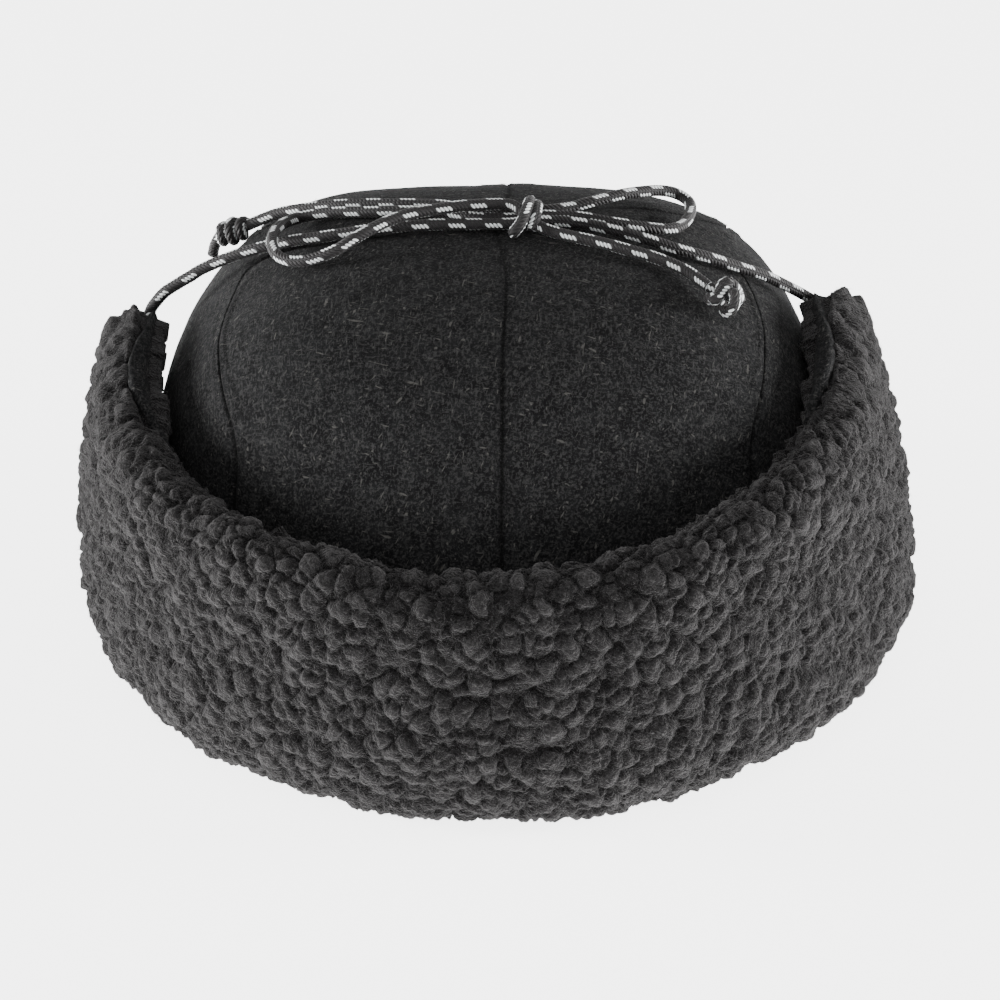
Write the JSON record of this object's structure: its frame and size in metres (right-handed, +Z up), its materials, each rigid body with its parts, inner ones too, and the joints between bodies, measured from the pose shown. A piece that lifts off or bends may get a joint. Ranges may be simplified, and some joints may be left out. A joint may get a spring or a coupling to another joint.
{
  "type": "wool earflap cap",
  "caption": "Soft panelled wool cap with a short peak and a pile-lined ear and nape flap, folded up and tied over the crown with a cord bow.",
  "frame": {"origin": "middle of the whole cap, peak included, on the surface it rests on", "axes": "+Z up through the crown, +Y towards the wearer's front, +X towards the wearer's right"},
  "size_m": [0.2169, 0.2825, 0.1158],
  "materials": {
    "melange_wool": "matt charcoal felted wool with light fibres",
    "curly_pile": "dark grey curly fleece",
    "flecked_braid": "dark round braid with pale flecks"
  },
  "bodies": {
    "root": {"crown": "melange_wool", "flap_facing": "melange_wool", "flap_pile": "curly_pile", "peak": "melange_wool", "tie_left_standing": "flecked_braid", "tie_left_loop": "flecked_braid", "tie_left_end": "flecked_braid", "tie_right_standing": "flecked_braid", "tie_right_loop": "flecked_braid", "tie_right_end": "flecked_braid", "bow_knot": "flecked_braid", "end_knot_left": "flecked_braid", "end_knot_right": "flecked_braid"}
  },
  "joints": []
}
